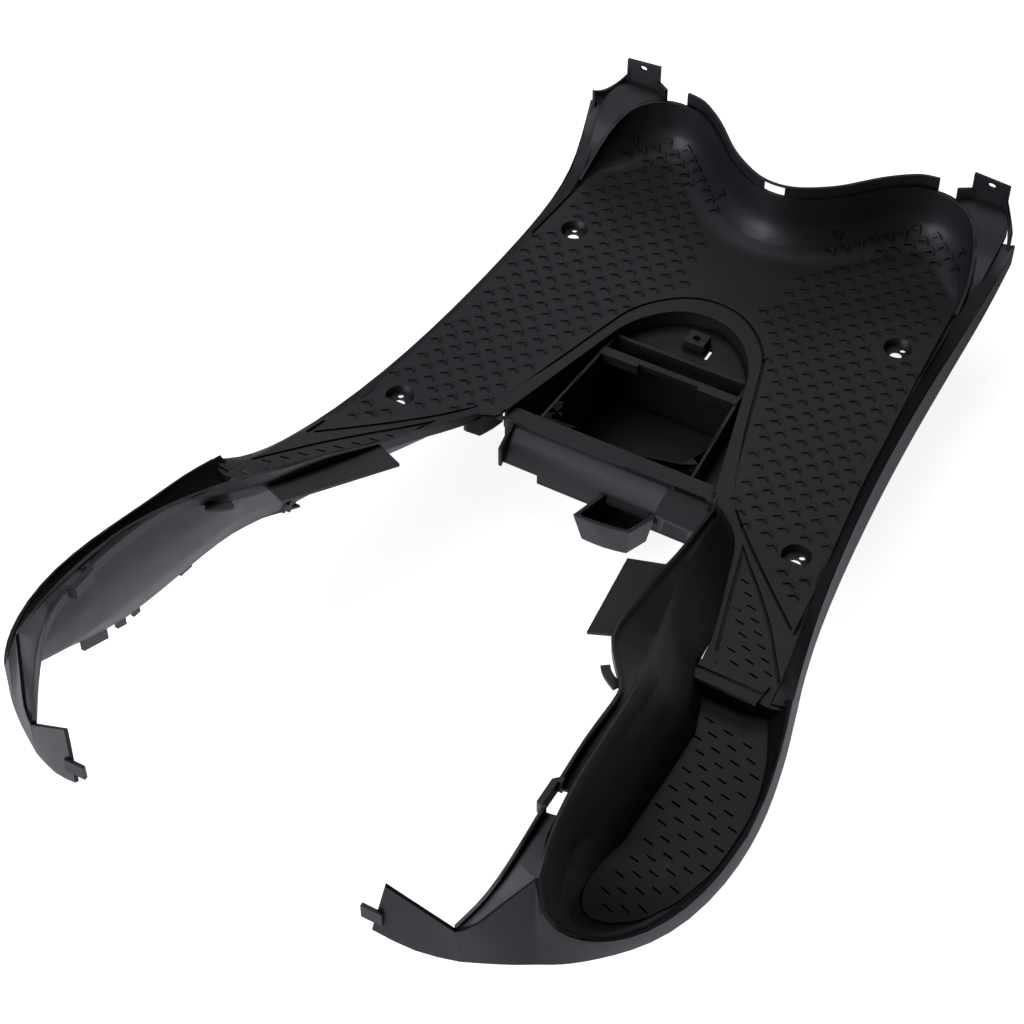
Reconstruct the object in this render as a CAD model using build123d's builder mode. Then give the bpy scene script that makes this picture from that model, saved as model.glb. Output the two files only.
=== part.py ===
# One-piece moulded scooter floorboard: a tread deck with a toe wall and side rails, a hatch frame over
# a battery bay, and two rear arms that carry the passenger's foot wells.
# X points right, Y forward, Z up. The shape is drawn from the deck's top face, and at the end it is
# raised so that the origin lies midway between the seats of the two front screws.
# The right half is modelled and mirrored, then the details on one side only join it.
import math
import os

from build123d import *

os.makedirs("parts", exist_ok=True)

# Driving sizes in millimetres
wall = 2.6
cove_radius = 26.0
toe_height = 46.0
lip_height = 10.0
floor_rear = -235.0
ramp_rear = -384.0
step_y = -378.0
foot_floor_z = 20.0
foot_floor_slope = 0.185
foot_bend = -535.0
foot_rise = 0.3
foot_outer = 240.0
foot_width = 55.0
skirt_depth = 30.0
shelf_z = -14.0
bay_depth = 75.0
bay_front = -83.0
bay_rear = -195.0
bay_front_x = 57.0
bay_rear_x = 64.0
bar_z = -5.0
front_bar_y = -101.0
rear_bar_y = -193.0
rear_bar_width = 14.0
screw_spots = [(140, 0), (162.5, -231)]
pocket_radius = 11.0
pocket_foot = 8.4
pocket_depth = 5.4
pocket_shift = 2.2
screw_hole = 9.5
drain_hole = 5.0
tab_y = 138.2
tab_inner = 136.4
tab_outer = 166.2
tab_low = 42.0
tab_high = 70.6
tab_hole_x = 151.5
tab_hole_z = 65.4
tab_hole_length = 6.5
tab_hole_height = 4.5
slot_width = 18.0
slot_height = 9.0
lip_wall = 2.2
clip_x = 168.5
clip_y = -591.0
clip_width = 9.0
clip_length = 18.0
apron_left = -78.0
apron_right = 52.0
bracket_y = -58.0
bracket_hole = 6.0
funnel_x = 24.0
funnel_y = -230.0
funnel_top = -25.0
funnel_foot = -52.0
hook_x = 183.6

# Tread sizes
chevron_width = 8.5
chevron_length = 6.4
chevron_high = 0.8
chevron_pitch = 17.0
chevron_row = 9.5
dash_length = 7.0
dash_width = 1.6
dash_pitch = 15.5
dash_row = 9.5
dash_turn = -14.0
groove_width = 2.4
groove_depth = 1.3
tread_margin = 5.5

# Outlines of the right half, from the front to the rear
toe_line = [(0, 66), (28, 75), (48, 89), (70, 112), (92, 130), (109, 135), (126, 132), (145, 121),
    (157, 103), (162, 82), (163.5, 57)]
lip_line = [(0, 69.3), (28, 78.5), (46, 91.5), (68, 114.8), (90.5, 133), (110, 138.6)]
front_ramp = [(143, 49), (132, 47), (115, 40), (100, 30), (85, 16), (70, 5), (50, 0)]
rear_ramp = [(floor_rear + share * (ramp_rear - floor_rear), z)
    for share, z in ((0.18, 3), (0.436, 10.5), (0.705, 20), (1, 30.5))]
deck_edge = [(167, 30), (167.5, 0), (170.3, -75), (173.5, -130), (178.5, -180), (184.5, -225),
    (190.5, -268), (197.5, -302), (203.5, -333), (208, -357), (212, ramp_rear)]
panel_edge = [(176, 118), (172, 88), (168, 60), (167, 30)]
wall_foot = [(84, -212), (98, -215), (111, -226), (121.5, -243), (130.5, -273), (138.5, -300),
    (145.5, -322), (151, -342), (154, -362), (158, -378)]
hatch_end = (85.5, -202)
arch_y = -207.0

# Tread field limits beside the grooves, as (y, x) and (x, y)
chevron_inner = [(89, 44), (60, 37), (6, 30), (-18, 26), (-32.5, 34), (-50, 50), (-71, 61), (-97, 69.5),
    (-131, 79), (-163, 87), (-199, 95), (-229, 123), (-267, 160), (-301, 191)]
chevron_outer = [(105, 126), (100, 133), (82, 149), (60, 162), (0, 166.6), (-90, 172), (-150, 178),
    (-210, 185), (-270, 191), (-305, 195)]
chevron_front = [(0, 40), (20, 44), (45, 58), (66, 82), (90, 104), (109, 109), (126, 105), (170, 105)]
ramp_inner = [(-242, 125), (-297, 143), (-352, 159)]
ramp_outer = [(-243, 128), (-278, 157), (-307, 178), (-336, 197), (-359, 209)]
foot_inner = [(-408, 168), (-454, 181), (-538, 185), (-583, 189), (-600, 195)]
foot_outside = [(-408, 222), (-446, 237), (-487, 244), (-531, 241), (-576, 230), (-600, 212)]


def between(line, key):
    # Value at key on a line of (key, value) points, straight between them and level past its ends
    line = sorted(line)
    key = min(max(key, line[0][0]), line[-1][0])
    for (k0, v0), (k1, v1) in zip(line, line[1:]):
        if key <= k1:
            return v0 + (v1 - v0) * (key - k0) / (k1 - k0)


def deck_z(y):
    return between([(floor_rear, 0)] + rear_ramp, y)


def foot_z(x, y):
    # The foot well's floor climbs to the rear, and more so at its inner corner
    climb = foot_rise * max(0, foot_bend - y) * (foot_outer - x) / foot_width
    return foot_floor_z + foot_floor_slope * (step_y - y) + climb


def section_plane(first, last, side):
    # Plane with its y axis from first to last and its x axis towards side
    along = (Vector(*last) - Vector(*first)).normalized()
    across = Vector(*side)
    across = (across - along * across.dot(along)).normalized()
    return Plane(origin=first, x_dir=across, z_dir=across.cross(along))


def plate_section(first, last, side, thick=wall, hollow=0.0):
    # Thin section between two points, thick towards side; hollow bows it that way in three flats
    length = (Vector(*last) - Vector(*first)).length
    steps = 3 if hollow else 1
    face = []
    for step in range(steps + 1):
        share = step / steps
        face.append((4 * hollow * share * (1 - share), length * share))
    with BuildSketch(section_plane(first, last, side)) as section:
        with BuildLine():
            Polyline(face + [(x + thick, y) for x, y in reversed(face)], close=True)
        make_face()
    return section.sketch


def deck_profile(under, over):
    # Side view of the deck and its ramp between two heights beside the top face
    line = [(130, 0), (floor_rear, 0)] + rear_ramp
    with BuildSketch(Plane.YZ) as profile:
        with BuildLine():
            Polyline([(y, z + over) for y, z in line] + [(y, z + under) for y, z in line[::-1]], close=True)
        make_face()
    return profile.sketch


def foot_sheet(over, thick):
    # Cross sections of the foot well's floor, from over its top face down
    sections = []
    for y in (-370, foot_bend, -615):
        inner = (150, y, foot_z(150, y) + over)
        outer = (255, y, foot_z(255, y) + over)
        sections.append(plate_section(inner, outer, (0, 0, -1), thick))
    return sections


def field_spots(first, rows, pitch, row, turn, inner, outer):
    # Staggered spots from first on, in rows turned by an angle, between two limits of x
    spots = []
    for line in range(rows):
        for column in range(int(200 / pitch)):
            shift = (column + 0.5 * (line % 2)) * pitch
            x = first[0] + shift
            y = first[1] - line * row + shift * math.tan(math.radians(turn))
            if between(inner, y) + tread_margin <= x <= between(outer, y) - tread_margin:
                spots.append((x, y))
    return spots


# Toe wall: a cove and an upright wall along the toe line, lower around the outer corner
with BuildLine() as toe_curve:
    Spline(toe_line, tangents=[(1, 0), (0, -1)])
toe_sections = []
foot_line = []
toe_steps = 12
cove_steps = 5
for step in range(toe_steps + 1):
    spot = toe_curve.line @ (step / toe_steps)
    ahead = toe_curve.line % (step / toe_steps)
    out = Vector(-ahead.Y, ahead.X)
    height = toe_height if spot.X < 124 else min(toe_height, between(front_ramp, spot.Y) + 0.9)
    cove = min(cove_radius, 0.8 * height)
    foot_line.append(tuple(spot - out * (cove - 3))[:2])
    turns = [math.pi / 2 * turn / cove_steps for turn in range(cove_steps + 1)]
    inside = [(cove * math.sin(a) - cove, cove - cove * math.cos(a)) for a in turns]
    outside = [((cove + wall) * math.sin(a) - cove, cove - (cove + wall) * math.cos(a)) for a in turns]
    with BuildSketch(Plane(origin=spot, x_dir=out, z_dir=out.cross(Vector(0, 0, 1)))) as section:
        with BuildLine():
            Polyline(inside + [(0, height), (wall, height)] + list(reversed(outside)), close=True)
        make_face()
    toe_sections.append(section.sketch)
with BuildPart() as toe_wall:
    loft(toe_sections, ruled=True)

# Stepped lip on the toe wall
with BuildPart() as toe_lip:
    with BuildSketch(Plane.XY.offset(toe_height - 4)):
        with BuildLine():
            Spline(lip_line, tangents=[(1, 0), (1, 0.1)])
        trace(line_width=2.4)
    extrude(amount=lip_height + 4)

# Tread: raised chevrons on the deck, and sunk grooves and dashes
chevron_spots = []
for x, y in field_spots((0, 104.5), 43, chevron_pitch, chevron_row, 0, chevron_inner, chevron_outer):
    clear = min(math.dist((x, y), (sx, sy + pocket_shift)) for sx, sy in screw_spots)
    if y < between(chevron_front, x) - tread_margin and clear > pocket_radius + tread_margin:
        chevron_spots.append((x, y))
with BuildPart() as chevrons:
    with BuildSketch(Plane.XY.offset(-15)):
        with Locations(*chevron_spots):
            Polygon((0, chevron_length / 2), (-chevron_width / 2, -chevron_length / 2), (0, 0),
                (chevron_width / 2, -chevron_length / 2), align=None)
    extrude(amount=40)
    extrude(deck_profile(-1, chevron_high), amount=230, mode=Mode.INTERSECT)
with BuildPart() as tread_cuts:
    with BuildSketch(Plane.XY.offset(-15)):
        with BuildLine():
            Spline((163, 60), (168.5, -40), (178, -150), (195, -305))
        trace(line_width=groove_width)
        with BuildLine():
            Spline((0, -20), (34, -32.5), (61, -71), tangents=[(1, 0), (0.33, -1)])
            Polyline((61, -71), (95, -199), (123, -229), (191, -301))
        trace(line_width=groove_width)
        with BuildLine():
            Polyline((207, -357), (178, -307), (157, -278), (128, -243), (143, -297), (159, -352))
        trace(line_width=groove_width)
        with Locations(*field_spots((127.8, -268.6), 11, dash_pitch, dash_row, dash_turn,
                ramp_inner, ramp_outer)):
            Rectangle(dash_length, dash_width, rotation=dash_turn)
    extrude(amount=60)
    extrude(deck_profile(-groove_depth, 5), amount=230, mode=Mode.INTERSECT)
with BuildPart() as foot_dashes:
    with BuildSketch(Plane.XY.offset(10)):
        with Locations(*field_spots((166, -404), 21, dash_pitch, dash_row, dash_turn,
                foot_inner, foot_outside)):
            Rectangle(dash_length, dash_width, rotation=dash_turn)
    extrude(amount=90)
    loft(foot_sheet(4, 4 + groove_depth), ruled=True, mode=Mode.INTERSECT)

# Deck with the ramp up to the step
with BuildPart() as floor:
    extrude(deck_profile(-wall, 0), amount=230)
    with BuildSketch(Plane.XY.offset(-60)):
        with BuildLine():
            Polyline([(0, arch_y), (84, arch_y)] + wall_foot + deck_edge[::-1] + foot_line[::-1],
                close=True)
        make_face()
    extrude(amount=160, mode=Mode.INTERSECT)
    add(tread_cuts.part, mode=Mode.SUBTRACT)
    add(chevrons.part)

# Corner panel outboard of the toe wall
panel_top = front_ramp
panel_under = [(y, z - wall) for y, z in reversed(front_ramp)]
panel_inner = [(x + 0.9, y + 0.6) for x, y in toe_line[6:]]
with BuildPart() as panel:
    with BuildSketch(Plane.YZ):
        with BuildLine():
            Spline(panel_top, tangents=[(-1, -0.15), (-1, 0)])
            Polyline(panel_top[-1], (30, 0), (30, -wall), panel_under[0])
            Spline(panel_under, tangents=[(1, 0), (1, 0.15)])
            Line(panel_under[-1], panel_top[0])
        make_face()
    extrude(amount=230)
    with BuildSketch(Plane.XY.offset(-60)):
        with BuildLine():
            Spline(panel_inner)
            Polyline(panel_inner[-1], (164, 40), panel_edge[-1])
            Spline(list(reversed(panel_edge)))
            Polyline(panel_edge[0], (166, 141), (134, 141), panel_inner[0])
        make_face()
    extrude(amount=160, mode=Mode.INTERSECT)

# Side strip from the deck's edge down to the rail: deck x, rail x, y, rail z
strip_rows = [(174.5, 184.8, 112, 38.2), (170, 181.3, 90, 16.7), (166.3, 177.8, 66, 1.4),
    (164.7, 176.1, 30, -4.4), (165.2, 175.8, -5, -5.4), (166.8, 176.6, -50, -5.4), (169.2, 178.6, -100, -5),
    (172.5, 182.1, -150, -4.4), (180, 188.6, -210, -3.4), (188.2, 197.6, -268, 0.6),
    (195.2, 205.1, -302, 4.6),
    (201.2, 212.1, -333, 10.2), (206, 219.1, -357, 19.7), (210, 225, -379, 34.2)]
strip_sections = []
for deck_x, rail_x, y, rail_z in strip_rows:
    top = between(front_ramp, y) if y > 0 else deck_z(y)
    strip_sections.append(plate_section((deck_x, y, top - 0.9), (rail_x, y, rail_z), (0, 0, -1)))
with BuildPart() as strip:
    loft(strip_sections, ruled=True)

# Outer band, the rail's skirt and the arm's outer face: top x, y, z, bottom x, y, z, inward x, y
band_rows = [(185.5, 112, 39, 185.5, 111, 21, -1, 0), (181.8, 90, 16.5, 183, 90, 2, -1, 0),
    (178.2, 66, 1.5, 180.5, 66, -13, -1, 0), (176.5, 30, -5, 178.5, 30, -23, -1, 0),
    (176.2, -5, -6, 178.5, -5, -27, -1, 0), (177, -50, -6, 179.5, -50, -28, -1, 0),
    (179, -100, -5.5, 182, -100, -28, -1, 0), (182.5, -150, -5, 185.5, -150, -28, -1, 0.1),
    (189, -210, -4, 191.5, -210, -26, -1, 0.15), (198, -268, 0, 200, -268, -20, -1, 0.2),
    (205.5, -302, 4, 207.5, -302, -14, -1, 0.2), (212.5, -333, 9.5, 215, -333, -7, -1, 0.2),
    (219.5, -357, 19, 222, -355, 4, -1, 0.2), (225, -379, 35, 228, -377, 14, -1, 0.2),
    (232.2, -402, 37, 234, -398, 15, -1, 0.2), (238.2, -428, 36.5, 239.5, -424, 17, -1, 0.15),
    (243.7, -457, 39, 245, -452, 22, -1, 0.1), (247.2, -490, 45, 248.7, -485, 28, -1, 0),
    (247.8, -529, 52.5, 248.7, -522, 34, -1, 0.15), (242.2, -565, 59, 242.5, -559, 39, -0.9, 0.4),
    (231.5, -595, 65.5, 231.5, -589, 46, -0.75, 0.66), (218.5, -615, 73, 218, -612, 54.5, -0.55, 0.83),
    (205.7, -629.2, 83.5, 206.5, -628, 61, -0.4, 0.92), (194.7, -638.4, 97.5, 197, -638, 64.5, -0.25, 0.97),
    (186.2, -641.5, 115.5, 190, -643.5, 67, -0.2, 0.97), (180, -637.5, 136.5, 184, -648, 68.5, -0.2, 0.95),
    (168, -652, 123, 176, -654, 70, -0.3, 0.95), (157.5, -666, 110, 162, -663, 73, -0.35, 0.94),
    (148, -671.5, 105.5, 150, -670.5, 76, -0.35, 0.94)]
with BuildPart() as outer_band:
    loft([plate_section((tx, ty, tz), (bx, by, bz), (ix, iy, 0))
        for tx, ty, tz, bx, by, bz, ix, iy in band_rows], ruled=True)

# Foot well flank and inner wall: floor x, y, crest x, y, z, side x, y, hollow
flank_rows = [(206, -373, 222, -373, 35, 1, 0, 1), (219, -400, 230, -401, 37.5, 0.98, -0.15, 1),
    (230, -426, 236, -428, 37, 0.98, -0.2, 1), (238, -456, 241.5, -457, 39.5, 0.98, -0.15, 1),
    (241.5, -488, 245, -490, 45.5, 1, -0.1, 1), (240.5, -526, 245.5, -529, 53, 0.98, -0.2, 1),
    (233, -561, 240, -564, 59.5, 0.9, -0.42, 1.2), (222, -588, 229.5, -593, 66, 0.75, -0.66, 1.5),
    (210.5, -603, 217, -613, 73.5, 0.55, -0.83, 2), (201.5, -608.5, 205, -627, 84, 0.3, -0.95, 3),
    (195, -606.5, 194.5, -636, 98, 0.06, -1, 5), (190, -599, 186.5, -639, 116, -0.15, -1, 7),
    (187, -588, 181, -634, 137, -0.45, -0.9, 9), (185, -571, 176.5, -612, 148, -0.8, -0.6, 10),
    (184.5, -547, 173.5, -585, 151, -1, -0.25, 10), (184, -518, 171, -550, 148, -1, -0.1, 10),
    (183, -487, 167.5, -515, 138, -1, 0, 10), (182, -455, 162, -478, 124, -1, 0, 8),
    (180, -424, 152, -440, 110, -1, 0, 4)]
# Inner wall beside the ramp: foot x, y, z, crest x, y, z, hollow
inner_rows = [(172, -400, 23, 142, -405, 94, 2), (154.5, -370, 26, 134, -372, 80, 4),
    (151, -342, 20, 126, -345, 67, 5), (145.5, -320, 15, 120, -320, 54, 4),
    (138.5, -298, 10, 115, -296, 43, 3), (130.5, -271, 4.5, 109, -268, 29, 2),
    (121.5, -242, 0.8, 104, -240, 15, 1), (111.8, -225.6, -0.6, 98, -224, 7, 0.5),
    (99, -214.5, -0.4, 90, -216, 4, 0.5)]
flank_sections = [plate_section((ax, ay, foot_z(ax, ay) - 1.2), (cx, cy, cz), (sx, sy, 0), hollow=hollow)
    for ax, ay, cx, cy, cz, sx, sy, hollow in flank_rows]
flank_sections += [plate_section((ax, ay, az), (cx, cy, cz), (-1, 0, 0), hollow=hollow)
    for ax, ay, az, cx, cy, cz, hollow in inner_rows]
with BuildPart() as flank_wall:
    loft(flank_sections, ruled=True)

# Ledge and lip along the top of the inner wall: crest x, y, z, lip x, y, ledge z, lip top z
ledge_rows = [(98, -224, 7, 95, -225, 6, 11), (104, -240, 15, 98, -241, 14, 19.5),
    (109, -268, 29, 102, -268, 27.5, 33.5), (115, -296, 43, 106.5, -294, 41.5, 47.5),
    (120, -320, 54, 110.5, -323, 56.5, 62), (126, -345, 67, 112.5, -346, 68, 74),
    (134, -372, 80, 117, -376, 86, 92), (142, -405, 94, 121, -405, 100, 106.5),
    (149, -430, 105.5, 124, -430, 111, 117), (154, -449, 113.5, 127.5, -448.5, 117.5, 123),
    (157, -461, 118, 136, -462.5, 119.5, 125), (161, -475, 123, 147.5, -477, 122.5, 127.5),
    (163.4, -487, 127.5, 154.5, -488, 126, 131), (164.8, -495, 130.6, 157, -496.5, 129.5, 134.5),
    (167.5, -515, 138, 159.3, -515, 136.5, 142), (171, -550, 148, 161, -546, 145, 150.5),
    (173.5, -585, 151, 163.5, -587, 147, 153), (176.5, -612, 148, 164.5, -617, 146, 151),
    (180.5, -635, 137, 162, -635, 135, 140), (168.5, -651, 123, 156, -651, 119, 122.5),
    (158.5, -664.5, 110.5, 150, -661.5, 110.5, 114), (149.5, -670, 106.5, 146, -668.5, 105.5, 108.5)]
ledge_sections = []
for cx, cy, cz, lx, ly, lz, top in ledge_rows:
    flat = Vector(cx - lx, cy - ly, 0)
    width = flat.length - 0.9
    flat = flat.normalized()
    rise = cz - lz - 0.9
    with BuildSketch(Plane(origin=(lx, ly, lz), x_dir=flat, z_dir=flat.cross(Vector(0, 0, 1)))) as section:
        with BuildLine():
            Polyline((width, rise), (lip_wall, 0), (lip_wall, top - lz), (0, top - lz), (0, -wall),
                (width, rise - wall), close=True)
        make_face()
    ledge_sections.append(section.sketch)
clip_frame = [(-4.5, -11), (-8.5, -9), (-8.5, 9), (-4.5, 13), (-2, 13), (-2, -11)]
with BuildPart() as top_ledge:
    loft(ledge_sections, ruled=True)
    with BuildSketch(Plane.XY.offset(143)):
        with BuildLine():
            Polyline([(clip_x + x, clip_y + y) for x, y in clip_frame], close=True)
        make_face()
    extrude(amount=10)
    with Locations((clip_x, clip_y, 145)):
        Box(clip_width, clip_length, 40, mode=Mode.SUBTRACT)

# Inboard flap on the front ledge, with the small finger behind it
with BuildPart() as side_flap:
    loft([plate_section((88, -347, 71.5), (113, -333, 65), (0, 0, -1)),
        plate_section((112, -450, 117), (128, -444, 118), (0, 0, -1))], ruled=True)
    with BuildSketch(Plane.XY.offset(121.6)):
        with BuildLine():
            Polyline((150, -482), (140, -476.5), (136, -471))
        trace(line_width=6)
    extrude(amount=-wall)

# End flap, flat from its fold, with a small tab on its free edge
with BuildPart() as end_flap:
    loft([plate_section(first, last, (-0.35, 0.94, 0)) for first, last in (
        ((148, -671.3, 106), (150, -670.5, 76)), ((129, -676.5, 121.5), (127, -681, 81.5)),
        ((110, -682, 137.5), (103.5, -688.5, 98)))], ruled=True)
    with Locations((103, -686.2, 110)):
        Box(14, wall, 11)

# Front tab with its oval hole, the low lug beside it and the hollow web to the rail
web_rows = [(163.5, 140.2, 43, 61, 0, -1), (167, 139.4, 43, 54, -0.45, -0.9),
    (171.5, 134.5, 41, 48, -0.75, -0.66), (176.5, 126.5, 38, 45, -0.88, -0.47),
    (180.3, 117, 33, 46.5, -0.95, -0.3), (182.6, 109, 29, 52, -0.98, -0.2)]
with BuildPart() as front_tab:
    loft([plate_section((x, y, low), (x, y, high), (nx, ny, 0))
        for x, y, low, high, nx, ny in web_rows], ruled=True)
    with BuildSketch(Plane.XY.offset(tab_low)):
        with BuildLine():
            Polyline((127, 132.6), (136.6, 138.6), (139, 139))
        trace(line_width=wall)
    extrude(amount=15)
    with BuildSketch(Plane.XZ.offset(-tab_y)):
        with BuildLine():
            Polyline((tab_inner, tab_low), (tab_outer, tab_low), (tab_outer, tab_high - 1.1),
                (tab_inner, tab_high + 1.2), close=True)
        make_face()
        with Locations((tab_hole_x, tab_hole_z)):
            SlotOverall(tab_hole_length, tab_hole_height, mode=Mode.SUBTRACT)
    extrude(amount=-wall)

# Foot well floor, with the small hooks under its inner edge
with BuildPart() as foot_floor:
    loft(foot_sheet(0, wall), ruled=True)
    with BuildSketch(Plane.XY.offset(-60)):
        with BuildLine():
            Polyline([(ax + sx * 0.8, ay + sy * 0.8) for ax, ay, cx, cy, cz, sx, sy, hollow in flank_rows]
                + [(171.2, -400), (162, -385), (155.4, -374)], close=True)
        make_face()
    extrude(amount=260, mode=Mode.INTERSECT)
    add(foot_dashes.part, mode=Mode.SUBTRACT)
    for front, rear, drop in ((-464, -477, 8), (-522, -529, 7), (-537, -546, 8), (-556, -580, 12)):
        tops = [(y, foot_z(hook_x, y) - 1) for y in (front, rear)]
        loft([plate_section((hook_x, y, z - drop), (hook_x, y, z), (1, 0, 0)) for y, z in tops], ruled=True)

# Step: the ribbed bar across the ramp's end and the riser below it
with BuildPart() as riser:
    with BuildSketch(Plane.XY.offset(15)):
        with BuildLine():
            Polyline((163, -382.2), (211, -382.2), (225.5, -378.5))
        trace(line_width=wall)
    extrude(amount=14.6)
    with BuildSketch(Plane.YZ.offset(155)):
        with BuildLine():
            Polyline((-363, 24), (-364.5, 27.4), (-373, 29.5), (-374, 28.6), (-376, 29.1), (-377, 30.4),
                (-386, 32.6), (-387.5, 31.5), (-387.5, 24), (-385, 24), (-385, 28), (-363, 23), close=True)
        make_face()
    extrude(amount=49)


# Battery hatch: the opening, its skirt, the shelf, the box and the cross bars
def hatch_edges(grow):
    # The hatch's inner edge, moved outward by grow: a rounded nose and a straight side
    side = Vector(0.97, 0.25) * grow
    nose = [(0, -37 + grow), (36 + 0.66 * grow, -53 + 0.75 * grow), (57 + side.X, -90 + side.Y)]
    round_edge = Spline(nose, tangents=[(1, 0), (0.25, -1)])
    return round_edge, Line(nose[-1], (hatch_end[0] + side.X, hatch_end[1]))


with BuildPart() as hatch_skirt:
    with BuildSketch():
        with BuildLine():
            inner_nose, inner_side = hatch_edges(0)
            outer_nose, outer_side = hatch_edges(wall)
            Line(inner_nose @ 0, outer_nose @ 0)
            Line(inner_side @ 1, outer_side @ 1)
        make_face()
    extrude(amount=-skirt_depth)
with BuildPart() as hatch_opening:
    with BuildSketch(Plane.XY.offset(-5)):
        with BuildLine():
            nose, side = hatch_edges(wall / 2)
            Polyline(side @ 1, (hatch_end[0] + 3, arch_y - 2.5), (0, arch_y - 2.5), nose @ 0)
        make_face()
    extrude(amount=10)
with BuildPart() as bay:
    # Shelf in the nose of the hatch
    with BuildSketch(Plane.XY.offset(shelf_z)):
        with BuildLine():
            nose, side = hatch_edges(1.2)
            Polyline(side @ 1, (0, (side @ 1).Y), nose @ 0)
        make_face()
        with Locations((0, -90)):
            Rectangle(200, 300, align=(Align.CENTER, Align.MAX), mode=Mode.SUBTRACT)
    extrude(amount=-wall)
    # Side deck between the box and the skirt
    with BuildSketch(Plane.XY.offset(-skirt_depth)):
        with BuildLine():
            Polyline((57 + 1.4, -90), (hatch_end[0] + 1.4, hatch_end[1]), (bay_rear_x, bay_rear),
                (bay_front_x, bay_front), close=True)
        make_face()
    extrude(amount=wall)
    # Box walls and floor
    with BuildSketch(Plane.XY.offset(-bay_depth)):
        with BuildLine():
            Polyline((0, bay_front), (bay_front_x, bay_front), (bay_rear_x, bay_rear), (0, bay_rear),
                close=True)
        make_face()
    extrude(amount=bay_depth - 6)
    with BuildSketch(Plane.XY.offset(-bay_depth + wall)):
        with BuildLine():
            Polyline((-1, bay_front - wall), (bay_front_x - wall, bay_front - wall),
                (bay_rear_x - wall, bay_rear + wall), (-1, bay_rear + wall), close=True)
        make_face()
    extrude(amount=bay_depth, mode=Mode.SUBTRACT)
    # Front cross bar with its thicker ends
    with Locations((0, front_bar_y, bar_z)):
        Box(bay_front_x + 1, 5, 5, align=(Align.MIN, Align.MAX, Align.MAX))
    with Locations((25, front_bar_y, bar_z)):
        Box(bay_front_x - 24, 8, 9, align=(Align.MIN, Align.MAX, Align.MAX))
    # Rear cross bar, a channel open below
    with BuildSketch(Plane.YZ):
        with Locations((rear_bar_y, bar_z + 1)):
            Rectangle(rear_bar_width, 10, align=(Align.MAX, Align.MAX))
        with Locations((rear_bar_y - wall, bar_z + 1 - wall)):
            Rectangle(rear_bar_width - 2 * wall, 10, align=(Align.MAX, Align.MAX), mode=Mode.SUBTRACT)
    extrude(amount=86)

# Gusset under the arch's corner, and the wall beside the bay's rear end
with BuildPart() as gusset:
    loft([plate_section((x, y, low), (x, y, high), (1, 0.3, 0)) for x, y, low, high in (
        (86.5, -207, -9, -0.6), (90, -216, -11, 3), (95, -227, -11, 7), (98, -241.5, 5, 13))], ruled=True)

# Screw pockets: an eight-sided boss under the deck, a sunk cone and two holes
with BuildPart() as pocket_cups:
    with BuildSketch(Plane.XY.offset(-8)):
        with Locations(*[(x, y + pocket_shift) for x, y in screw_spots]):
            RegularPolygon(pocket_radius + wall, 8)
    extrude(amount=7)
with BuildPart() as pocket_cuts:
    with Locations(*[(x, y + pocket_shift, -pocket_depth) for x, y in screw_spots]):
        Cone(pocket_foot, pocket_radius, pocket_depth + 0.01, align=(Align.CENTER, Align.CENTER, Align.MIN))
    with Locations(*[(x, y, -12) for x, y in screw_spots]):
        Cylinder(screw_hole / 2, 12, align=(Align.CENTER, Align.CENTER, Align.MIN))
    with Locations(*[(x + 2.6, y + 7.2, -12) for x, y in screw_spots]):
        Cylinder(drain_hole / 2, 12, align=(Align.CENTER, Align.CENTER, Align.MIN))

# Rear of the bay, which differs left and right: apron, ribs, block and funnel
with BuildPart() as apron:
    with BuildSketch(Plane.YZ.offset(apron_left)):
        with BuildLine():
            Polyline((-199, -7), (-207, -9.2), (-215, -14.8), (-220.5, -22.5), (-224, -32), (-221.4, -32),
                (-218, -23.7), (-213.1, -16.8), (-206, -11.8), (-199, -9.6), close=True)
        make_face()
    extrude(amount=apron_right - apron_left)
    for x in (apron_left, apron_right + 3):
        with BuildSketch(Plane.YZ.offset(x - wall / 2)):
            with BuildLine():
                Polyline((-199, -6), (-206, -5.5), (-227, -16), (-227, -34), (-199, -13), close=True)
            make_face()
        extrude(amount=wall)
    with BuildSketch(Plane.XY.offset(-7)):
        with BuildLine():
            Polyline((53, -204), (90, -204), (90, -238), (84, -239), (56, -237), (53, -228), close=True)
        make_face()
    extrude(amount=-wall)
funnel_rim = [(10, -206), (-3, -251), (19, -252), (41, -247), (50, -225), (46, -206)]
with BuildPart() as funnel:
    for size, low, high, mode in ((1, funnel_foot, funnel_top, Mode.ADD),
            (0.86, funnel_foot + wall, funnel_top + 1, Mode.SUBTRACT)):
        rims = []
        for height, share in ((high, size), (low, 0.8 * size)):
            with BuildSketch(Plane.XY.offset(height)) as rim:
                with BuildLine():
                    Polyline([(funnel_x + (x - funnel_x) * share, funnel_y + (y - funnel_y) * share)
                        for x, y in funnel_rim], close=True)
                make_face()
            rims.append(rim.sketch)
        loft(rims, ruled=True, mode=mode)

# Bracket on the shelf for the hatch cover's screw
with BuildPart() as bracket:
    with Locations((0, bracket_y, shelf_z - 1)):
        Box(17, 14, 9.5, align=(Align.CENTER, Align.CENTER, Align.MIN))
with BuildPart() as bracket_cuts:
    with Locations((0, bracket_y, shelf_z - 5)):
        Cylinder(bracket_hole / 2, 20, align=(Align.CENTER, Align.CENTER, Align.MIN))
    with Locations((12, bracket_y - 4, shelf_z - 5)):
        Box(3, 12, 20, align=(Align.CENTER, Align.CENTER, Align.MIN))
    with Locations((0, 67, toe_height + 4.5)):
        Box(slot_width, 16, slot_height)

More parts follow.
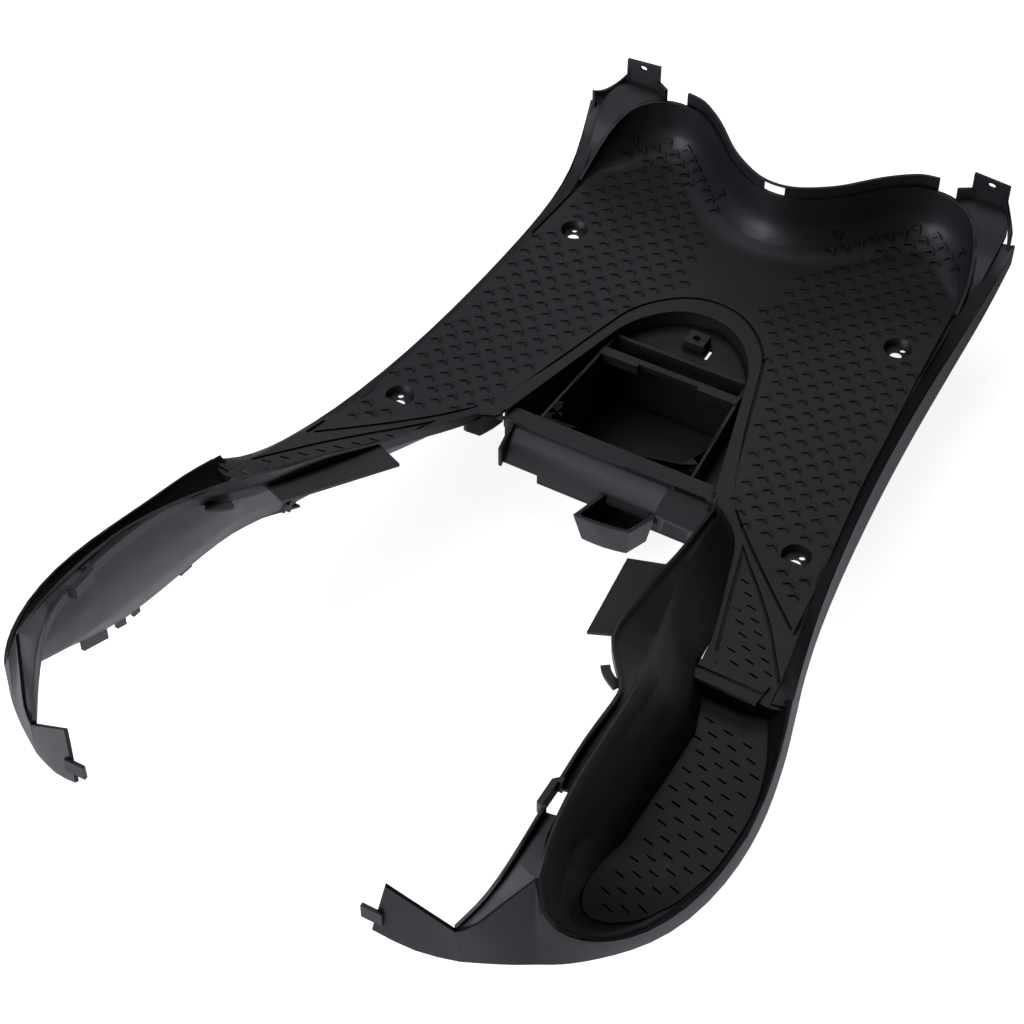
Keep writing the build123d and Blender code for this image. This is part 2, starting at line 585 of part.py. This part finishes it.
# Whole floorboard: the right half, its mirror image, then what has no twin
half = [strip, front_tab, panel, floor, flank_wall, riser, foot_floor, toe_wall, toe_lip, top_ledge,
    end_flap, side_flap]
with BuildPart() as floorboard:
    add(outer_band.part)
    add([piece.part for piece in half], clean=False)
    add(hatch_opening.part, mode=Mode.SUBTRACT, clean=False)
    add([hatch_skirt.part, bay.part, gusset.part, pocket_cups.part], clean=False)
    add(pocket_cuts.part, mode=Mode.SUBTRACT, clean=False)
    mirror(about=Plane.YZ)
    add([apron.part, funnel.part, bracket.part], clean=False)
    add(bracket_cuts.part, mode=Mode.SUBTRACT, clean=False)

# The front screws' seats come to height zero
seated = Pos(0, 0, pocket_depth) * floorboard.part
seated.label = "floorboard"
export_step(seated, "parts/floorboard.step")
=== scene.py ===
import math

import bpy
from mathutils import Matrix, Vector


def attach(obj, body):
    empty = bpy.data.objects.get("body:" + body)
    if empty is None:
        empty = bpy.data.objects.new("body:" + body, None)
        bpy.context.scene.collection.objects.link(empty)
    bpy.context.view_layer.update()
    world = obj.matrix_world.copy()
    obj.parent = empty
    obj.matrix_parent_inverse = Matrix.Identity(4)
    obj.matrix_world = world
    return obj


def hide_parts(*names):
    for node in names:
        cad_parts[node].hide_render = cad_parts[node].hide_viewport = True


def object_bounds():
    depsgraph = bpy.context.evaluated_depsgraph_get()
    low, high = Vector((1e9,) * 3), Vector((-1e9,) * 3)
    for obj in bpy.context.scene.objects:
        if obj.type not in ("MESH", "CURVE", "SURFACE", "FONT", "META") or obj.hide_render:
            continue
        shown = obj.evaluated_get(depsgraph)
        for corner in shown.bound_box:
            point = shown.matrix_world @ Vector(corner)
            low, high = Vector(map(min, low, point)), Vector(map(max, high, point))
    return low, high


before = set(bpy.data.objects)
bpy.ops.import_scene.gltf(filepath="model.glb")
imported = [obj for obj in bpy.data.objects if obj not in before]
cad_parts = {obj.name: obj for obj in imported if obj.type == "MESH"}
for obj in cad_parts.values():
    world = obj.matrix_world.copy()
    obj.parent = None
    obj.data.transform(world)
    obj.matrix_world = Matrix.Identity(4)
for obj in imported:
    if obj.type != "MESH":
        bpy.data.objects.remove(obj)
cad_low, cad_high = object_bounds()
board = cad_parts["floorboard"]

# Camera, as in the photo
eye = Vector((0.5378, -1.2936, 1.2473))
aim = Vector((-0.0313, -0.2908, 0.0054))
lens = 83.67
sensor = 36.0

# Floor and room
floor_size = 14.0
floor_drop = 0.0006
# Painted light: strength of the floor's glowing patch under the object
floor_glow = 0.7
# Painted shade: the camera sees the floor's glow this dim near the object
painted_shadow_level = 0.86
shadow_fade = 0.35
glow_center = (0.05, 0.45, 0.0)
glow_reach = 0.85
light_color = (0.98, 0.97, 1.07)
room_light = 0.03

# Plastic
plastic_color = (0.0115, 0.0114, 0.0135, 1.0)
plastic_rough = 0.45
plastic_shine = 0.5
grain_size = 0.0007
grain_height = 0.00006
edge_round = 0.0005
# Painted shade: reach and dullness of the darkening in corners and grooves
painted_shade_reach = 0.004
painted_shade_dull = 0.35
gloss_scale = 9.0
gloss_change = 0.04
smooth_angle = math.radians(32.0)
merge_gap = 0.000002

# Chevrons that go on up the toe cove, on the lattice of the deck's own
mark_width = 0.0092
mark_length = 0.0064
mark_high = 0.0013
mark_sunk = 0.0006
mark_pitch = 0.017
mark_row = 0.0095
mark_first = 0.1045
mark_rows = range(-5, 6)
mark_columns = range(20)
mark_slack = 0.002
steepest = 0.5
cast_height = 0.2
cove_foot = [
    (0.044, 0.056),
    (0.066, 0.082),
    (0.09, 0.104),
    (0.109, 0.109),
    (0.126, 0.105),
    (0.16, 0.105),
]


def link(tree, source, output, target, name):
    tree.links.new(source.outputs[output], target.inputs[name])


def plastic():
    mat = bpy.data.materials.new("black plastic")
    mat.use_nodes = True
    tree = mat.node_tree
    shader = tree.nodes["Principled BSDF"]
    coords = tree.nodes.new("ShaderNodeTexCoord")
    # Painted shade: an ambient occlusion node darkens the base colour to deep black in corners and
    # grooves
    painted_shade = tree.nodes.new("ShaderNodeAmbientOcclusion")
    painted_shade.samples = 4
    painted_shade.inputs["Distance"].default_value = painted_shade_reach
    painted_shade.inputs["Color"].default_value = plastic_color
    link(tree, painted_shade, "Color", shader, "Base Color")
    # Painted shade on the gloss: the specular drops where the occlusion is dark
    shine = tree.nodes.new("ShaderNodeMapRange")
    shine.inputs["From Min"].default_value = painted_shade_dull
    shine.inputs["To Max"].default_value = plastic_shine
    link(tree, painted_shade, "AO", shine, "Value")
    link(tree, shine, "Result", shader, "Specular IOR Level")
    # Fine grain of the mould
    grain = tree.nodes.new("ShaderNodeTexNoise")
    grain.inputs["Scale"].default_value = 1 / grain_size
    grain.inputs["Detail"].default_value = 2.0
    link(tree, coords, "Object", grain, "Vector")
    # Rounded edges
    rounding = tree.nodes.new("ShaderNodeBevel")
    rounding.samples = 4
    rounding.inputs["Radius"].default_value = edge_round
    bump = tree.nodes.new("ShaderNodeBump")
    bump.inputs["Strength"].default_value = 0.5
    bump.inputs["Distance"].default_value = grain_height
    link(tree, grain, "Fac", bump, "Height")
    link(tree, rounding, "Normal", bump, "Normal")
    link(tree, bump, "Normal", shader, "Normal")
    # Broad, faint changes of gloss
    cloud = tree.nodes.new("ShaderNodeTexNoise")
    cloud.inputs["Scale"].default_value = gloss_scale
    cloud.inputs["Detail"].default_value = 3.0
    link(tree, coords, "Object", cloud, "Vector")
    gloss = tree.nodes.new("ShaderNodeMapRange")
    gloss.inputs["To Min"].default_value = plastic_rough - gloss_change
    gloss.inputs["To Max"].default_value = plastic_rough + gloss_change
    link(tree, cloud, "Fac", gloss, "Value")
    link(tree, gloss, "Result", shader, "Roughness")
    return mat


def white_floor():
    mat = bpy.data.materials.new("white floor")
    mat.use_nodes = True
    tree = mat.node_tree
    shader = tree.nodes["Principled BSDF"]
    shader.inputs["Base Color"].default_value = (0.8, 0.8, 0.8, 1.0)
    shader.inputs["Roughness"].default_value = 0.9
    shader.inputs["Specular IOR Level"].default_value = 0.0
    shader.inputs["Emission Color"].default_value = light_color + (1.0,)
    # Painted light: a glowing patch of floor, brightest under the object and fading away from it,
    # lights the object from below and shows in its reflections
    coords = tree.nodes.new("ShaderNodeTexCoord")
    patch = tree.nodes.new("ShaderNodeMapping")
    patch.inputs["Location"].default_value = tuple(value / glow_reach for value in glow_center)
    patch.inputs["Scale"].default_value = (1 / glow_reach, 1 / glow_reach, 1.0)
    link(tree, coords, "Object", patch, "Vector")
    fade = tree.nodes.new("ShaderNodeTexGradient")
    fade.gradient_type = "SPHERICAL"
    link(tree, patch, "Vector", fade, "Vector")
    power = tree.nodes.new("ShaderNodeMath")
    power.operation = "MULTIPLY"
    power.inputs[1].default_value = floor_glow
    link(tree, fade, "Fac", power, 0)
    link(tree, power, "Value", shader, "Emission Strength")
    seen = tree.nodes.new("ShaderNodeLightPath")
    # The camera sees it white far off, with painted shade near the object: the glow is dimmed
    # there, and the diffuse part adds the real shadow
    glow = tree.nodes.new("ShaderNodeEmission")
    glow.inputs["Color"].default_value = (1.0, 1.0, 1.0, 1.0)
    painted_shadow_dip = tree.nodes.new("ShaderNodeMapRange")
    painted_shadow_dip.inputs["From Max"].default_value = shadow_fade
    painted_shadow_dip.inputs["To Min"].default_value = 1.0
    painted_shadow_dip.inputs["To Max"].default_value = painted_shadow_level
    link(tree, fade, "Fac", painted_shadow_dip, "Value")
    link(tree, painted_shadow_dip, "Result", glow, "Strength")
    lit = tree.nodes.new("ShaderNodeBsdfDiffuse")
    both = tree.nodes.new("ShaderNodeAddShader")
    tree.links.new(glow.outputs["Emission"], both.inputs[0])
    tree.links.new(lit.outputs["BSDF"], both.inputs[1])
    mixed = tree.nodes.new("ShaderNodeMixShader")
    link(tree, seen, "Is Camera Ray", mixed, "Fac")
    tree.links.new(shader.outputs["BSDF"], mixed.inputs[1])
    tree.links.new(both.outputs["Shader"], mixed.inputs[2])
    link(tree, mixed, "Shader", tree.nodes["Material Output"], "Surface")
    return mat


def lamp(name, spot, target, width, height, power):
    data = bpy.data.lights.new(name, "AREA")
    data.shape = "RECTANGLE"
    data.size = width
    data.size_y = height
    data.energy = power
    data.color = light_color
    light = bpy.data.objects.new(name, data)
    light.location = spot
    light.rotation_euler = (Vector(target) - Vector(spot)).to_track_quat("-Z", "Y").to_euler()
    bpy.context.scene.collection.objects.link(light)


def smooth_copy(node, name):
    # The node's shape with its triangles joined, so that its coves and bends shade as smooth faces
    copy = node.copy()
    copy.data = node.data.copy()
    copy.name = name
    bpy.context.scene.collection.objects.link(copy)
    bpy.ops.object.select_all(action="DESELECT")
    copy.select_set(True)
    bpy.context.view_layer.objects.active = copy
    bpy.ops.object.mode_set(mode="EDIT")
    bpy.ops.mesh.select_all(action="SELECT")
    bpy.ops.mesh.remove_doubles(threshold=merge_gap)
    bpy.ops.mesh.select_all(action="DESELECT")
    bpy.ops.mesh.select_mode(type="EDGE")
    bpy.ops.mesh.edges_select_sharp(sharpness=smooth_angle)
    bpy.ops.transform.edge_crease(value=1.0)
    bpy.ops.object.mode_set(mode="OBJECT")
    bpy.ops.mesh.customdata_custom_splitnormals_clear()
    bpy.ops.object.shade_smooth_by_angle(angle=smooth_angle)
    # Long bends are rounded between their sharp edges
    rounding = copy.modifiers.new("round bends", "SUBSURF")
    rounding.levels = 1
    rounding.render_levels = 1
    rounding.boundary_smooth = "PRESERVE_CORNERS"
    # Wide faces stay flat up to where a bend begins
    weights = copy.modifiers.new("weighted normals", "WEIGHTED_NORMAL")
    weights.keep_sharp = True
    weights.weight = 70
    return copy


def foot_of_cove(x):
    # Where the deck's own chevrons stop, forward at this distance from the middle
    for (x0, y0), (x1, y1) in zip(cove_foot, cove_foot[1:]):
        if x0 <= x <= x1:
            return y0 + (y1 - y0) * (x - x0) / (x1 - x0)
    return None


def edit_points(obj, test):
    # Selects the points that pass the test and opens them for editing
    bpy.ops.object.mode_set(mode="EDIT")
    bpy.ops.mesh.select_mode(type="VERT")
    bpy.ops.mesh.select_all(action="DESELECT")
    bpy.ops.object.mode_set(mode="OBJECT")
    for vertex in obj.data.vertices:
        vertex.select = test(vertex.co)
    bpy.ops.object.mode_set(mode="EDIT")


def chevron_mark():
    # A square on its corner, its rear corner pushed in to a V, then raised
    bpy.ops.object.select_all(action="DESELECT")
    bpy.ops.mesh.primitive_circle_add(vertices=4, radius=1.0, fill_type="NGON")
    mark = bpy.context.object
    edit_points(mark, lambda point: point.y < -0.9)
    bpy.ops.transform.translate(value=(0.0, 1.5, 0.0))
    bpy.ops.object.mode_set(mode="OBJECT")
    edit_points(mark, lambda point: abs(point.x) < 0.1)
    bpy.ops.mesh.vert_connect()
    bpy.ops.object.mode_set(mode="OBJECT")
    mark.scale = (mark_width / 2, mark_length, 1.0)
    mark.location = (0.0, -mark_length / 2, -mark_sunk)
    bpy.ops.object.transform_apply(location=True, rotation=True, scale=True)
    edit_points(mark, lambda point: True)
    rise = (0.0, 0.0, mark_sunk + mark_high)
    bpy.ops.mesh.extrude_region_move(TRANSFORM_OT_translate={"value": rise})
    bpy.ops.mesh.select_all(action="SELECT")
    bpy.ops.mesh.normals_make_consistent(inside=False)
    bpy.ops.object.mode_set(mode="OBJECT")
    return mark


def toe_chevrons(surface, name):
    # Found on one side by a slanting line down to the cove, and mirrored
    mark = chevron_mark()
    bpy.context.view_layer.update()
    slant = Vector((0.0, 1.0, -1.0)).normalized()
    copies = []
    for row in mark_rows:
        y = mark_first - row * mark_row
        for column in mark_columns:
            x = (column / 2) * mark_pitch
            foot = foot_of_cove(x)
            if column % 2 != row % 2 or foot is None or y < foot - mark_slack:
                continue
            start = Vector((x, y, 0.0)) - slant * cast_height
            hit, place, normal, face = surface.ray_cast(start, slant)
            if not hit or normal.z < steepest or place.y < foot - mark_slack:
                continue
            for side in (-1, 1):
                seat = Vector((side * place.x, place.y, place.z))
                up = Vector((side * normal.x, normal.y, normal.z))
                ahead = (Vector((0.0, 1.0, 0.0)) - up * up.y).normalized()
                turn = Matrix((ahead.cross(up), ahead, up)).transposed().to_4x4()
                copy = mark.copy()
                copy.data = mark.data.copy()
                copy.matrix_world = Matrix.Translation(seat) @ turn
                bpy.context.scene.collection.objects.link(copy)
                copies.append(copy)
    bpy.data.objects.remove(mark)
    bpy.ops.object.select_all(action="DESELECT")
    for copy in copies:
        copy.select_set(True)
    bpy.context.view_layer.objects.active = copies[0]
    bpy.ops.object.join()
    tread = bpy.context.object
    bpy.ops.object.transform_apply(location=True, rotation=True, scale=True)
    tread.name = name
    return tread


# Plastic on the moulding
moulding = smooth_copy(board, "moulding")
moulding.data.materials.clear()
black = plastic()
moulding.data.materials.append(black)
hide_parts("floorboard")
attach(moulding, "root")

# Chevrons on the toe cove
toe_tread = toe_chevrons(moulding, "toe_tread")
toe_tread.data.materials.append(black)
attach(toe_tread, "root")

# Floor under the lowest point
bpy.ops.object.select_all(action="DESELECT")
bpy.ops.mesh.primitive_plane_add(size=floor_size, location=(0.0, 0.0, cad_low[2] - floor_drop))
ground = bpy.context.object
ground.name = "floor"
ground.data.materials.append(white_floor())

# Soft light from above, the front and the rear
lamp("overhead", (-0.7, 0.4, 2.2), (0.0, -0.25, 0.0), 2.0, 1.6, 11.0)
lamp("rear left", (-1.4, -2.5, 2.1), (0.0, -0.1, 0.05), 2.4, 2.0, 46.0)
lamp("front", (-0.9, 2.2, 1.0), (0.0, -0.25, 0.05), 2.0, 0.8, 5.0)
lamp("low rear", (-1.3, -2.6, 0.7), (0.0, 0.0, 0.06), 1.8, 0.6, 24.0)

# A dim room, white to the camera
world = bpy.data.worlds.new("room")
world.use_nodes = True
bpy.context.scene.world = world
tree = world.node_tree
sky = tree.nodes["Background"]
sky.inputs["Color"].default_value = (1.0, 1.0, 1.0, 1.0)
seen = tree.nodes.new("ShaderNodeLightPath")
shown = tree.nodes.new("ShaderNodeMapRange")
shown.inputs["To Min"].default_value = room_light
shown.inputs["To Max"].default_value = 1.0
link(tree, seen, "Is Camera Ray", shown, "Value")
link(tree, shown, "Result", sky, "Strength")

# Camera
view = bpy.data.cameras.new("camera")
view.lens = lens
view.sensor_width = sensor
camera = bpy.data.objects.new("camera", view)
camera.location = eye
camera.rotation_euler = (aim - eye).to_track_quat("-Z", "Y").to_euler()
bpy.context.scene.collection.objects.link(camera)
bpy.context.scene.camera = camera
bpy.context.scene.view_settings.view_transform = "Standard"
